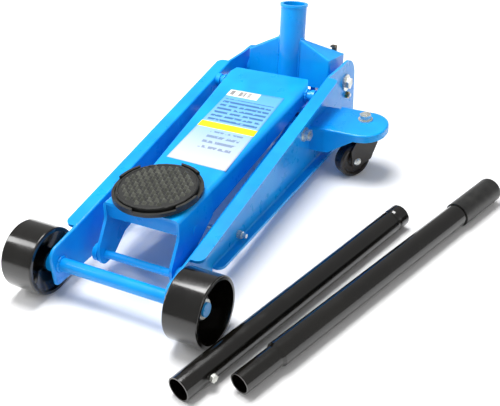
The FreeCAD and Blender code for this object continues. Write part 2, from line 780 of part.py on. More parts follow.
def bracket_fittings():
    brace = new_body("bracket_brace")
    inner = "(bracket_half - bracket_sheet)"
    low = "(bracket_top_z - bracket_sheet - 22)"
    top = "(bracket_top_z - bracket_sheet)"
    plate = outline(brace, "XZ", [
        (f"-{inner}", low), (inner, low), (inner, f"{top} - 3"), (f"{inner} - 3", top),
        (f"-{inner} + 3", top), (f"-{inner}", f"{top} - 3"),
    ], "-bracket_front_y - 1.5")
    pad(brace, plate, "bracket_sheet", backwards=True)
    round_corners(brace, plate, [0, 1], "6")
    cross = [rod("rod_radius", f"2 * ({LINK_OUTER} + 2)", (f"-({LINK_OUTER} + 2)", ROD_Y, ROD_Z))]
    pins = []
    washers = []
    for sign in SIDES.values():
        start = f"({arm_half('pin_y')} - arm_sheet - 4)"
        end = "(bracket_half + 1.5)"
        pin = rod("pin_radius", f"{end} - {start}", (span_start(start, end, sign), "pin_y", "pin_z"))
        start = f"({arm_half('pin_y + pin_radius + 5')} + slide_gap)"
        collar = rod("pin_radius + 5", f"{inner} - {start}", (span_start(start, inner, sign), "pin_y", "pin_z"))
        pins.append(fused([pin, collar]))
        end = f"({LINK_INNER} - slide_gap)"
        washers.append(ring("rod_radius + 5", "rod_radius", f"{end} - bracket_half",
                            (span_start("bracket_half", end, sign), ROD_Y, ROD_Z)))
        start = f"({LINK_OUTER} + slide_gap)"
        cross.append(rod("rod_radius + 3.5", "3", (span_start(start, f"({start} + 3)", sign), ROD_Y, ROD_Z)))
    group(pins, "bracket_pivot_pins")
    group(washers, "link_eye_washers")
    fused(cross, "lower_cross_rod")


def link_rod(side):
    """A flat bar with an eye at each end that keeps the bracket level as the arm rises."""
    sign = SIDES[side]
    body = new_body(f"link_rod_{side}")
    inner = both(LINK_INNER, sign)
    length = "sqrt((arm_pivot_y - pin_y) ^ 2 + (arm_pivot_z - pin_z) ^ 2)"
    bar = outline(body, "YZ", [
        ("0", "-link_wide / 2"), (length, "-link_wide / 2"), (length, "link_wide / 2"), ("0", "link_wide / 2"),
    ], inner)
    pad(body, bar, "link_thick", backwards=sign < 0)
    for centre, hole in [("0", "rod_radius + open_pivot_gap"), (length, "link_bolt_radius + run_gap")]:
        eye = circles(body, "YZ", [(centre, "0")], "link_eye_radius", inner)
        pad(body, eye, "link_thick", backwards=sign < 0)
        pocket(body, circles(body, "YZ", [(centre, "0")], hole), "bracket_half * 4", both_ways=True)
    place(body, ("0", ROD_Y, ROD_Z), X_AXIS, "atan((arm_pivot_z - pin_z) / (arm_pivot_y - pin_y))")


def saddle():
    """A round cast dish with four claws, on a stem that turns in the bracket, and the rubber pad in it."""
    body = new_body("saddle")
    floor_z = "bracket_top_z + slide_gap"
    rim_z = f"{floor_z} + saddle_thick + claw_high"
    profile = outline(body, "XZ", [
        ("0", "bracket_top_z - bracket_sheet - stem_ring_thick - 1"),
        ("stem_radius", "bracket_top_z - bracket_sheet - stem_ring_thick - 1"),
        ("stem_radius", floor_z),
        ("saddle_radius - 5", floor_z),
        ("saddle_radius", f"{floor_z} + 4"),
        ("saddle_radius", rim_z),
        ("saddle_radius - claw_wall", rim_z),
        ("saddle_radius - claw_wall", f"{floor_z} + saddle_thick"),
        ("0", f"{floor_z} + saddle_thick"),
    ])
    revolve(body, profile, "V_Axis")
    gap = outline(body, "XZ", [
        ("-saddle_radius * 0.46", f"{floor_z} + saddle_thick + 3"),
        ("saddle_radius * 0.46", f"{floor_z} + saddle_thick + 3"),
        ("saddle_radius * 0.46", f"{rim_z} + 5"),
        ("-saddle_radius * 0.46", f"{rim_z} + 5"),
    ])
    notch = pocket(body, gap, "saddle_radius + 10", backwards=True)
    doc.recompute()
    around = body.newObject("PartDesign::PolarPattern", "Notches")
    around.Originals = [notch]
    around.Axis = (gap, ["V_Axis"])
    around.Angle = 360
    around.Occurrences = 4
    body.Tip = around
    place(body, ("0", "saddle_y", "0"), Z_AXIS, "saddle_turn")
    cushion = new_body("saddle_pad")
    disc = circles(cushion, "XY", [("0", "0")], "pad_radius", f"{floor_z} + saddle_thick")
    pad(cushion, disc, "pad_thick")
    place(cushion, ("0", "saddle_y", "0"), Z_AXIS, "saddle_turn")
    ring("stem_radius + 5", "stem_radius", "stem_ring_thick",
         ("0", "saddle_y", "bracket_top_z - bracket_sheet - stem_ring_thick - slide_gap"), "Z", "saddle_stem_ring")


# ---------------------------------------------------------------- handle socket and its yoke
def place_in_yoke(body):
    return place(body, ("0", "yoke_y", "yoke_z"), BACKWARDS, "yoke_lean")


def yoke_block(label, wall):
    """A gabled box whose roof falls from the front gable to a level rear edge, drawn in by a wall thickness."""
    body = doc.addObject("PartDesign::Body", label)
    half = f"(yoke_half - {wall})"
    foot = "-yoke_foot" if wall == "0" else "-yoke_foot * 4"
    front = outline(body, "XZ", [
        (f"-{half}", foot), (half, foot), (half, f"yoke_shoulder - {wall} * 0.6"),
        ("socket_outer", f"yoke_peak - {wall}"), ("-socket_outer", f"yoke_peak - {wall}"),
        (f"-{half}", f"yoke_shoulder - {wall} * 0.6"),
    ], f"yoke_front - {wall}")
    pad(body, front, f"yoke_front + yoke_rear - 2 * {wall}", backwards=True)
    above = outline(body, "YZ", [
        (f"roof_edge - yoke_front + {wall} * 0.7", "yoke_peak + 5"),
        (f"roof_edge - yoke_front + {wall} * 0.7", f"yoke_peak - {wall}"),
        ("yoke_rear + 3", f"yoke_shoulder - 1 - {wall} * 1.1"), ("yoke_rear + 3", "yoke_peak + 5"),
    ])
    pocket(body, above, "yoke_half * 3", both_ways=True)
    return body


def yoke_shell():
    """The yoke's folded box, open below, with a round cheek at each pivot and a cut-out for the socket tube."""
    outside = yoke_block("Yoke_outside", "0")
    for sign in SIDES.values():
        cheek = circles(outside, "YZ", [("0", "0")], "cheek_radius", both("yoke_half - yoke_sheet", sign))
        pad(outside, cheek, "yoke_sheet", backwards=sign < 0)

    def front_edge(edge):
        point = middle(edge)
        return (abs(point.y + Dims.yoke_front) < 0.1 and abs(point.x) > Dims.socket_outer
                and point.z > -Dims.yoke_foot + 1)

    round_where(outside, front_edge, "yoke_sheet")
    tube = circles(outside, "XY", [("0", "-socket_ahead")], "socket_outer")
    pocket(outside, tube, "yoke_peak * 4", both_ways=True)
    bolt_hole = circles(outside, "YZ", [("0", "0")], "yoke_bolt_radius + run_gap")
    pocket(outside, bolt_hole, "yoke_half * 4", both_ways=True)
    inside = yoke_block("Yoke_inside", "yoke_sheet")
    place_in_yoke(cut(outside, inside, "yoke_shell"))


def handle_socket():
    """The tube that takes the handle, with a rolled lip."""
    body = new_body("handle_socket")
    profile = outline(body, "XZ", [
        ("socket_bore", "-socket_foot"), ("socket_outer", "-socket_foot"),
        ("socket_outer", "socket_top - lip_high"), ("socket_lip", "socket_top - lip_high + 1"),
        ("socket_lip", "socket_top"), ("socket_bore", "socket_top"),
    ])
    revolve(body, profile, "V_Axis")
    place(body, ("0", "yoke_y - socket_ahead * cos(yoke_lean)", "yoke_z + socket_ahead * sin(yoke_lean)"),
          BACKWARDS, "yoke_lean")


def pump_lever():
    """The arm under the yoke that pushes the pump plunger, its roller, and a bent steel tab on the yoke's back."""
    lever = new_body("pump_lever")
    inside_back = "(yoke_rear - yoke_sheet)"
    plate = outline(lever, "YZ", [
        ("-lever_thick", "-lever_long - 2"), ("lever_thick", "-lever_long - 2"), (inside_back, "-6"),
        (inside_back, "yoke_shoulder / 2"), ("0", "0"),
    ], "lever_x - lever_thick / 2")
    pad(lever, plate, "lever_thick")
    round_corners(lever, plate, [0, 1], "lever_thick - 2")
    pocket(lever, circles(lever, "YZ", [("0", "-lever_long")], "rivet_radius"), "yoke_half * 4", both_ways=True)
    place_in_yoke(lever)
    roller = new_body("pump_roller")
    profile = outline(roller, "XY", [
        ("lever_x - 8", "-0"), ("lever_x + 8", "0"), ("lever_x + 8", "roller_radius"),
        ("lever_x + lever_thick / 2", "roller_radius"), ("lever_x + lever_thick / 2", "rivet_radius"),
        ("lever_x - lever_thick / 2", "rivet_radius"), ("lever_x - lever_thick / 2", "roller_radius"),
        ("lever_x - 8", "roller_radius"),
    ])
    revolve(roller, profile)
    place(roller, ("0", "yoke_y - lever_long * sin(yoke_lean)", PLUNGER_Z), BACKWARDS, "yoke_lean")
    tab = new_body("yoke_tab")
    bent = outline(tab, "YZ", [
        ("yoke_rear", "yoke_shoulder - 12"), ("yoke_rear + 3", "yoke_shoulder - 12"),
        ("yoke_rear + 3", "yoke_shoulder + 13"), ("yoke_rear - 8", "yoke_shoulder + 13"),
        ("yoke_rear - 8", "yoke_shoulder + 10"), ("yoke_rear", "yoke_shoulder + 10"),
    ], "yoke_half - 24")
    pad(tab, bent, "9")
    place_in_yoke(tab)


# ---------------------------------------------------------------- hydraulic unit
def hydraulic_unit():
    block = new_body("unit_block")
    body_plan = outline(block, "XZ", [
        ("-block_half", "block_foot_z"), ("block_half", "block_foot_z"),
        ("block_half", "block_top_z"), ("-block_half", "block_top_z"),
    ], "-block_rear_y")
    pad(block, body_plan, "block_rear_y - block_front_y")
    round_corners(block, body_plan, [2, 3], "8")
    nose = circles(block, "XZ", [("0", "unit_z")], "cylinder_radius", "-block_front_y")
    pad(block, nose, "block_front_y - cylinder_front_y")
    tail = circles(block, "XZ", [("0", "unit_z")], "tail_radius", "-tail_rear_y")
    pad(block, tail, "tail_rear_y - block_rear_y")
    bore = circles(block, "XZ", [("0", "unit_z")], "ram_radius + slide_gap", "-(tail_rear_y - 4)")
    pocket(block, bore, "tail_rear_y", backwards=True)
    plunger = circles(block, "XZ", [("lever_x", PLUNGER_Z)], "plunger_radius + slide_gap", "-block_rear_y")
    pocket(block, plunger, "block_rear_y", backwards=True)
    valve = circles(block, "XZ", [("valve_x", "valve_z")], "valve_radius + run_gap", "-(block_rear_y - 14)")
    pocket(block, valve, "60")
    clevis = doc.addObject("PartDesign::Body", "Clevis")
    half = "(crank_half - slide_gap)"
    side_view = outline(clevis, "YZ", [
        ("clevis_front_y", "slot_foot_z - 6"), ("clevis_rear_y", "slot_foot_z - 6"),
        ("clevis_rear_y", "slot_top_z + 6"), ("clevis_front_y", "slot_top_z + 6"),
    ])
    pad(clevis, side_view, f"{half} * 2", both_ways=True)
    round_corners(clevis, side_view, [0, 3], "5")
    reach = "(crank_pin_radius + slot_play)"
    slot = outline(clevis, "YZ", [
        (f"{CRANK_PIN_Y} - {reach}", "slot_foot_z"), (f"{CRANK_PIN_Y} + {reach}", "slot_foot_z"),
        (f"{CRANK_PIN_Y} + {reach}", "slot_top_z"), (f"{CRANK_PIN_Y} - {reach}", "slot_top_z"),
    ])
    pocket(clevis, slot, "crank_half * 4", both_ways=True)
    fused([clevis, rod("ram_radius", "ram_rear_y - clevis_rear_y", ("0", "clevis_rear_y", "unit_z"), "Y")], "ram")
    rod("plunger_radius", f"{PLUNGER_REAR} - (block_front_y + 8)", ("lever_x", "block_front_y + 8", PLUNGER_Z),
        "Y", "pump_plunger")
    stem = rod("valve_radius", "36", ("valve_x", "block_rear_y - 12", "valve_z"), "Y")
    knob = hexagon("valve_radius * 1.6", "10", ("valve_x", "block_rear_y + 24", "valve_z"), "Y")
    fused([stem, knob], "release_valve")


# ---------------------------------------------------------------- rear casters
def caster_stubs():
    """The box welded to each web that the caster's pan is butted to."""
    stubs = []
    front = "(caster_front_y + stub_step)"
    rear = "(caster_rear_y - stub_step * 2)"
    top = "(caster_top_z - stub_step)"
    for sign in SIDES.values():
        stub = doc.addObject("PartDesign::Body", "Stub")
        section = outline(stub, "YZ", [
            (front, "caster_deep_z - 2"), (rear, "caster_deep_z - 2"), (rear, top), (front, top),
        ], both(WEB_OUTER, sign))
        pad(stub, section, f"caster_seam_x - {WEB_OUTER}", backwards=sign < 0)
        round_corners(stub, section, [2, 3], "5")
        inside = outline(stub, "YZ", [
            (f"{front} + caster_sheet", "0"), (f"{rear} - caster_sheet", "0"),
            (f"{rear} - caster_sheet", f"{top} - caster_sheet"), (f"{front} + caster_sheet", f"{top} - caster_sheet"),
        ])
        pocket(stub, inside, "caster_seam_x * 3", both_ways=True)
        stubs.append(stub)
    group(stubs, "caster_stubs")


def caster_pan(side):
    """A pressed pan with a rounded outer end that carries the caster."""
    sign = SIDES[side]
    tip = f"caster_tip_{side}"
    pan = doc.addObject("PartDesign::Body", "Pan_outside")
    plan = outline(pan, "XY", [
        (both("caster_seam_x", sign), "caster_front_y"), (both(tip, sign), "caster_front_y"),
        (both(tip, sign), "caster_rear_y"), (both("caster_seam_x", sign), "caster_rear_y"),
    ], "caster_deep_z")
    pad(pan, plan, "caster_top_z - caster_deep_z")
    round_corners(pan, plan, [1, 2], f"caster_round_{side}")

    def top_rim(edge):
        point = middle(edge)
        return abs(point.z - Dims.caster_top_z) < 0.1 and abs(point.x) > Dims.caster_seam_x + 1

    round_where(pan, top_rim, "caster_sheet * 0.8")
    shallow = f"caster_shallow_{side}"
    root = "caster_seam_x + 7" if side == "right" else "caster_seam_x - 9"
    under = outline(pan, "XZ", [
        (both(root, sign), "caster_deep_z"), (both(f"caster_x_{side}", sign), shallow),
        (both(f"{tip} + 9", sign), shallow), (both(f"{tip} + 9", sign), "caster_deep_z - 9"),
        (both(root, sign), "caster_deep_z - 9"),
    ])
    pocket(pan, under, "caster_rear_y * 3", both_ways=True)
    hole = circles(pan, "XY", [(both(f"caster_x_{side}", sign), "caster_y")], "stem_bolt_radius")
    pocket(pan, hole, "caster_top_z * 3", both_ways=True)
    hollow = doc.addObject("PartDesign::Body", "Pan_inside")
    inner_plan = outline(hollow, "XY", [
        (both("caster_seam_x - 1", sign), "caster_front_y + caster_sheet"),
        (both(f"{tip} - caster_sheet", sign), "caster_front_y + caster_sheet"),
        (both(f"{tip} - caster_sheet", sign), "caster_rear_y - caster_sheet"),
        (both("caster_seam_x - 1", sign), "caster_rear_y - caster_sheet"),
    ], "caster_deep_z - 9")
    pad(hollow, inner_plan, "caster_top_z - caster_sheet - caster_deep_z + 9")
    round_corners(hollow, inner_plan, [1, 2], f"caster_round_{side} - caster_sheet")
    cut(pan, hollow, f"caster_arm_{side}")


def caster_fittings():
    stems = []
    nuts = []
    bearings = []
    seat = "(fork_top_z - fork_sheet - slide_gap)"
    for side, sign in SIDES.items():
        x = both(f"caster_x_{side}", sign)
        shank = rod("stem_bolt_radius", f"caster_top_z + 12 - {seat}", (x, "caster_y", seat), "Z")
        head = hexagon("stem_bolt_radius * 1.6", "5", (x, "caster_y", f"{seat} - 5"), "Z")
        stems.append(fused([shank, head]))
        start = (x, "caster_y", "caster_top_z")
        flange = rod("stem_bolt_radius * 2", "2.2", start, "Z")
        nut = fused([flange, hexagon("stem_bolt_radius * 1.7", "10", start, "Z")])
        nuts.append(cut(nut, rod("stem_bolt_radius", "10", start, "Z")))
        bearings.append(ring("stem_bolt_radius * 1.7", "stem_bolt_radius",
                             "caster_top_z - caster_sheet - fork_top_z - slide_gap",
                             (x, "caster_y", "fork_top_z + slide_gap"), "Z"))
    group(stems, "caster_stem_bolts")
    group(nuts, "caster_stem_nuts")
    group(bearings, "caster_swivel_bearings")


def caster(side):
    """A bent fork, its wheel and the rivet the wheel runs on, turned about the stem."""
    sign = SIDES[side]
    turn = f"caster_turn_{side}"
    fork = new_body(f"caster_fork_{side}")
    legs = outline(fork, "YZ", [
        ("-stem_bolt_radius * 2.5", "fork_top_z"), ("stem_bolt_radius * 3", "fork_top_z"),
        ("stem_bolt_radius * 2.5", "fork_top_z - 31"), ("2", "caster_wheel_radius - 2"),
        ("-caster_trail + 9", "caster_wheel_radius - 9"), ("-caster_trail - 11", "caster_wheel_radius - 9"),
        ("-caster_trail - 12", "fork_top_z - 32"),
    ])
    outer = "(caster_wheel_wide + 2 * fork_play + 2 * fork_sheet)"
    pad(fork, legs, outer, both_ways=True)
    round_corners(fork, legs, [4, 5], "8")
    inner = "(caster_wheel_wide / 2 + fork_play)"
    inside = outline(fork, "XZ", [
        (f"-{inner}", "0"), (inner, "0"), (inner, "fork_top_z - fork_sheet"), (f"-{inner}", "fork_top_z - fork_sheet"),
    ])
    pocket(fork, inside, "caster_trail * 8", both_ways=True)
    stem_hole = circles(fork, "XY", [("0", "0")], "stem_bolt_radius + run_gap")
    pocket(fork, stem_hole, "fork_top_z * 3", both_ways=True)
    rivet_hole = circles(fork, "YZ", [("-caster_trail", "caster_wheel_radius")], "rivet_radius")
    pocket(fork, rivet_hole, f"{outer} * 2", both_ways=True)
    place(fork, (both(f"caster_x_{side}", sign), "caster_y", "0"), CLOCKWISE, turn)
    hub_place = (both(f"caster_x_{side}", sign) + f" - caster_trail * sin({turn})",
                 f"caster_y - caster_trail * cos({turn})", "caster_wheel_radius")
    wheel = new_body(f"caster_wheel_{side}")
    half = "(caster_wheel_wide / 2)"
    bore = "rivet_radius + run_gap"
    profile = outline(wheel, "XY", [
        (f"-{half}", bore), (f"-{half}", "11"), (f"-{half} + 3", "13"), (f"-{half} + 3", "caster_wheel_radius - 8"),
        (f"-{half}", "caster_wheel_radius - 6"), (f"-{half}", "caster_wheel_radius - 3"),
        (f"-{half} + 3", "caster_wheel_radius"), (f"{half} - 3", "caster_wheel_radius"),
        (half, "caster_wheel_radius - 3"), (half, "caster_wheel_radius - 6"),
        (f"{half} - 3", "caster_wheel_radius - 8"), (f"{half} - 3", "13"), (half, "11"), (half, bore),
    ])
    revolve(wheel, profile)
    place(wheel, hub_place, CLOCKWISE, turn)
    rivet = new_body(f"caster_rivet_{side}")
    edge = f"({outer} / 2)"
    shape = outline(rivet, "XY", [
        (f"-{edge} - 3", "0"), (f"{edge} + 3", "0"), (f"{edge} + 3", "rivet_radius"),
        (edge, "rivet_radius + 2.5"), (edge, "rivet_radius"), (f"-{edge}", "rivet_radius"),
        (f"-{edge}", "rivet_radius + 2.5"), (f"-{edge} - 3", "rivet_radius"),
    ])
    revolve(rivet, shape)
    place(rivet, hub_place, CLOCKWISE, turn)


# ---------------------------------------------------------------- handle
def lower_handle():
    """The tube that fits the socket, with a rolled groove and a swelled mouth at one end and a screw at the other."""
    body = new_body("handle_lower_tube")
    bore = "tube_radius - tube_wall"
    profile = outline(body, "XY", [
        (bore, "0"), ("tube_radius", "0"), ("tube_radius", "lower_long - 26"),
        ("tube_radius - groove_depth", "lower_long - 23"), ("tube_radius - groove_depth", "lower_long - 20"),
        ("tube_radius", "lower_long - 17"), ("tube_radius", "lower_long"), (bore, "lower_long"),
    ])
    revolve(body, profile, "V_Axis")
    screw_hole = circles(body, "YZ", [("screw_inset", "0")], "tube_screw_radius")
    pocket(body, screw_hole, "tube_radius * 2", backwards=True)
    place(body, ("lower_x", "lower_y", "tube_radius"), CLOCKWISE, "lower_turn")
    screw = new_body("handle_screw")
    shank = circles(screw, "YZ", [("screw_inset", "0")], "tube_screw_radius", "tube_radius - tube_wall + 0.4")
    pad(screw, shank, "tube_wall + 0.6")
    high = "screw_head * 0.866"
    head = outline(screw, "YZ", [
        ("screw_inset + screw_head", "0"), ("screw_inset + screw_head / 2", high),
        ("screw_inset - screw_head / 2", high), ("screw_inset - screw_head", "0"),
        ("screw_inset - screw_head / 2", f"-{high}"), ("screw_inset + screw_head / 2", f"-{high}"),
    ], "tube_radius + 0.5")
    pad(screw, head, "4.5")
    place(screw, ("lower_x", "lower_y", "tube_radius"), CLOCKWISE, "lower_turn")


def upper_handle():
    """The grip end of the handle: a tube drawn down at one end, a collar and a sleeve with a closed end."""
    height = "tube_radius + grip_wall"
    body = new_body("handle_upper_tube")
    bore = "swage_radius - tube_wall"
    profile = outline(body, "XY", [
        (bore, "0"), ("swage_radius", "0"), ("swage_radius", "swage_long"), ("tube_radius", "swage_long + 5"),
        ("tube_radius", "upper_long"), ("tube_radius - tube_wall", "upper_long"),
        ("tube_radius - tube_wall", "swage_long + 8"), (bore, "swage_long + 3"),
    ])
    revolve(body, profile, "V_Axis")
    place(body, ("upper_x", "upper_y", height), CLOCKWISE, "upper_turn")
    grip = new_body("handle_grip")
    start = "-(upper_long - grip_long)"
    sleeve = circles(grip, "XZ", [("0", "0")], "tube_radius + grip_wall", start)
    pad(grip, sleeve, "grip_long + grip_end_thick", backwards=True)
    pocket(grip, circles(grip, "XZ", [("0", "0")], "tube_radius + run_gap", start), "grip_long + run_gap")

    def far_rim(edge):
        return middle(edge).y > Dims.upper_long + 1

    round_where(grip, far_rim, "grip_end_thick - 0.5")
    place(grip, ("upper_x", "upper_y", height), CLOCKWISE, "upper_turn")


# ---------------------------------------------------------------- the whole jack
for side in SIDES:
    side_plate(side)
chassis_rods()
axle_fittings()
flanged_nuts("tie_rod", "tie_y", TIE_Z, "tie_radius", "tie_radius + 2.6", "(tie_radius + 2.5)")
ear_bolts()
link_bolts()
shaft_spacers()
yoke_bolts()
for side in SIDES:
    front_wheel(side)
lift_arm()
arm_crank()
saddle_bracket()
bracket_fittings()
for side in SIDES:
    link_rod(side)
saddle()
yoke_shell()
handle_socket()
pump_lever()
hydraulic_unit()
caster_stubs()
for side in SIDES:
    caster_pan(side)
    caster(side)
caster_fittings()
lower_handle()
upper_handle()

# ---------------------------------------------------------------- checks and files
doc.recompute()
for item in doc.Objects:
    if "Invalid" in item.State or "Error" in item.State:
        raise ValueError(f"{item.Label} did not build: {item.State}")
for item in PARTS:
    if item.Shape.isNull() or not item.Shape.isValid():
        raise ValueError(f"{item.Label} has no valid shape")
os.makedirs("parts", exist_ok=True)
for item in PARTS:
    item.Shape.exportStep(os.path.join("parts", item.Label + ".step"))
    print(f"{item.Label}: {len(item.Shape.Solids)} solid(s), {item.Shape.Volume / 1000:.1f} cubic centimetres")
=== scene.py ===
# %% [markdown]
# # Hydraulic trolley jack
# A blue trolley jack with its handle in two pieces on the floor beside it. The CAD model gives every
# plate, pin and wheel its shape and place; this script gives them paint, zinc, rubber and wear, and
# adds the small things that a plain solid lacks: weld beads, studs, a sticker and softened edges.

# %% Load the frame
import bpy
import bmesh
import math
import random
from mathutils import Vector, Matrix


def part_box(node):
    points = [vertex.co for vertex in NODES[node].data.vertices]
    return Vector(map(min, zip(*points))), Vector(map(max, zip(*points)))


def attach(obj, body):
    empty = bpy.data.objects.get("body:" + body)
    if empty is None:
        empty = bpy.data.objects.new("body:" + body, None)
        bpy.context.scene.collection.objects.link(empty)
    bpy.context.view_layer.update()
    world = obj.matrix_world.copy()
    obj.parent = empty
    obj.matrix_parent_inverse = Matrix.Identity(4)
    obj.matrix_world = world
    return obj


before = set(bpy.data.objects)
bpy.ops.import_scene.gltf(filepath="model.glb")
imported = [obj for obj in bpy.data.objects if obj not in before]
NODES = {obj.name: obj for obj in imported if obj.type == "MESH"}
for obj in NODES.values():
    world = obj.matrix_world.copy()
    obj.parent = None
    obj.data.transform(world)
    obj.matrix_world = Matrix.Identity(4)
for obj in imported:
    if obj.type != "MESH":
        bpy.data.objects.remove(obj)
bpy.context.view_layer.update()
MM = 0.001
RIGHT, LEFT = 1, -1

# %% [markdown]
# ## Colour and node helpers
# Colours are written as the sRGB hex of the painted thing and turned linear once.

# %% Helpers for materials


def linear(hex_code):
    """An sRGB hex colour as the linear RGBA that a shader socket takes."""
    parts = [int(hex_code[i:i + 2], 16) / 255 for i in (0, 2, 4)]
    return tuple(p / 12.92 if p <= 0.04045 else ((p + 0.055) / 1.055) ** 2.4 for p in parts) + (1.0,)


class Graph:
    """A material's node tree with one short way to add a node."""

    def __init__(self, name):
        self.material = bpy.data.materials.new(name)
        self.material.use_nodes = True
        self.tree = self.material.node_tree
        self.shader = self.tree.nodes["Principled BSDF"]

    def add(self, kind, settings=None, **inputs):
        node = self.tree.nodes.new("ShaderNode" + kind)
        for key, value in (settings or {}).items():
            setattr(node, key, value)
        for key, value in inputs.items():
            self.feed(node, key.replace("_", " "), value)
        return node

    def feed(self, node, socket, value):
        """Sets a socket to a value, or links it to another node's output."""
        target = node.inputs[socket] if not socket.isdigit() else node.inputs[int(socket)]
        if isinstance(value, bpy.types.NodeSocket):
            self.tree.links.new(value, target)
        else:
            target.default_value = value

    def surface(self, **inputs):
        for key, value in inputs.items():
            self.feed(self.shader, key.replace("_", " "), value)

    def place(self):
        """The piece's own coordinates, in metres."""
        return self.add("TexCoord").outputs["Object"]

    def noise(self, size_mm, detail=4.0, roughness=0.55, stretch=None):
        """Noise whose lumps are about size_mm across."""
        where = self.place()
        if stretch:
            where = self.add("Mapping", None, Vector=where, Scale=stretch).outputs["Vector"]
        node = self.add("TexNoise", None, Vector=where, Scale=1 / (size_mm * MM), Detail=detail,
                        Roughness=roughness)
        return node.outputs["Fac"]

    def spread(self, value, low, high, to_low=0.0, to_high=1.0):
        node = self.add("MapRange", None, Value=value)
        limits = {"From Min": low, "From Max": high, "To Min": to_low, "To Max": to_high}
        for socket, number in limits.items():
            node.inputs[socket].default_value = number
        return node.outputs["Result"]

    def blend(self, factor, first, second, mode="MIX"):
        node = self.add("Mix", {"data_type": "RGBA", "blend_type": mode})
        self.feed(node, "0", factor)
        self.feed(node, "6", first)
        self.feed(node, "7", second)
        return node.outputs[2]

    def maths(self, operation, first, second=0.0):
        node = self.add("Math", {"operation": operation})
        self.feed(node, "0", first)
        self.feed(node, "1", second)
        return node.outputs[0]

    def bump(self, height, depth_mm, strength=1.0):
        node = self.add("Bump", None, Height=height, Strength=strength, Distance=depth_mm * MM)
        return node.outputs["Normal"]


# An edge mask: in the enamels it places both real chips and a painted highlight; in the dull blacks only a
# painted highlight.
def edge_wear_and_highlight(graph, radius_mm):
    """1 along a sharp outer edge, 0 on a flat face: the bevel normal leaves the true one there."""
    soft = graph.add("Bevel", {"samples": 4}, Radius=radius_mm * MM).outputs["Normal"]
    true = graph.add("NewGeometry").outputs["Normal"]
    across = graph.add("VectorMath", {"operation": "DOT_PRODUCT"})
    graph.feed(across, "0", soft)
    graph.feed(across, "1", true)
    return graph.spread(across.outputs["Value"], 0.985, 0.86)


# %% [markdown]
# ## Paint, metal and rubber
# Each material carries the unevenness of the real finish: orange peel in sprayed enamel, mottle in
# zinc plate, chalky bloom on rubber. Noise in the piece's own coordinates was chosen over images,
# because it needs no unwrapping and its scale can be given in millimetres.

# %% Enamel


def enamel(name, base, deep, bright, wear_colour, peel_mm=6.0, coat=0.3, rough=0.26, shine=0.3):
    """Sprayed gloss enamel: orange peel, a painted highlight along edges, small chips and uneven gloss."""
    g = Graph(name)
    cloud = g.spread(g.noise(90, 3), 0.35, 0.68)
    colour = g.blend(cloud, linear(deep), linear(base))
    edge = edge_wear_and_highlight(g, 1.6)
    # Painted highlight: the edges are mixed towards the lighter colour, standing in for the light that a
    # rounded edge catches.
    colour = g.blend(g.maths("MULTIPLY", edge, 0.55), colour, linear(bright))
    chips = g.spread(g.noise(3.2, 5, 0.7), 0.66, 0.70)
    chipped = g.maths("MULTIPLY", g.maths("MULTIPLY", edge, chips), 0.5)
    colour = g.blend(chipped, colour, linear(wear_colour))
    smear = g.spread(g.noise(28, 5, 0.6), 0.3, 0.75, rough - 0.05, rough + 0.1)
    peel = g.noise(peel_mm, 2, 0.4)
    normal = g.bump(peel, 0.12, 0.35)
    g.surface(Base_Color=colour, Roughness=smear, Normal=normal, Coat_Weight=coat, Coat_Roughness=0.08)
    g.feed(g.shader, "Specular IOR Level", shine)
    return g.material


# Sprayed steel: a strong clean blue on the frame, and a near-black on the wheels and handle that
# shows the lights as narrow streaks because it is smoother.
# Of each enamel's four colours, the third is a painted highlight along edges and the fourth is bare steel
# in chips.
BLUE = enamel("azure_enamel", "00a4f2", "008ee8", "2cc4ff", "8d9296", rough=0.3)
BLACK = enamel("black_enamel", "100e0a", "070605", "24221c", "4a4843", peel_mm=4.0, coat=0.5,
               rough=0.16, shine=0.5)
print("enamels:", BLUE.name, BLACK.name)

# %% Bare and plated metal


def metal(name, light, dark, rough, grain=None, peel_mm=1.4, metallic=1.0):
    """Plated or machined steel with mottled tone and fine grain; grain stretches it along one axis."""
    g = Graph(name)
    mottle = g.spread(g.noise(7, 4, 0.65), 0.3, 0.7)
    colour = g.blend(mottle, linear(dark), linear(light))
    lines = g.noise(1.2, 3, 0.6, grain)
    shine = g.spread(lines, 0.25, 0.75, rough - 0.1, rough + 0.12)
    normal = g.bump(g.noise(peel_mm, 3, 0.5, grain), 0.05, 0.5)
    g.surface(Base_Color=colour, Roughness=shine, Normal=normal, Metallic=metallic)
    return g.material


# Zinc plate is pale and a little milky, so it is not fully metallic; yellow zinc is the same with a
# straw tint; turned steel is darker with grain round the part; the strip is raw, dull and brownish.
ZINC = metal("zinc_plate", "f4f5ee", "b9bab4", 0.28, metallic=0.75)
BRASSY = metal("yellow_zinc", "c9b27a", "8a774a", 0.34)
TURNED = metal("turned_steel", "b9b9b6", "7c7b78", 0.3, grain=(12, 1, 1))
TAB = metal("raw_strip", "9a8c78", "5d5246", 0.5)
print("metals:", ZINC.name, BRASSY.name, TURNED.name, TAB.name)

# %% Cast iron, rubber and plastic


def dull(name, base, pale, rough, grain_mm, depth_mm, sheen=0.0):
    """A matt black surface with a fine moulded or sand-cast grain, a pale bloom in patches and a painted
    highlight on its edges.
    """
    g = Graph(name)
    bloom = g.spread(g.noise(14, 5, 0.6), 0.35, 0.75)
    colour = g.blend(bloom, linear(base), linear(pale))
    edge = edge_wear_and_highlight(g, 0.9)
    # Painted highlight: the edges are mixed towards the pale colour, standing in for light caught on the
    # edge.
    colour = g.blend(g.maths("MULTIPLY", edge, 0.45), colour, linear(pale))
    grain = g.noise(grain_mm, 4, 0.6)
    shine = g.spread(grain, 0.3, 0.7, rough - 0.08, rough + 0.08)
    g.surface(Base_Color=colour, Roughness=shine, Normal=g.bump(grain, depth_mm, 0.8), Sheen_Weight=sheen)
    return g.material
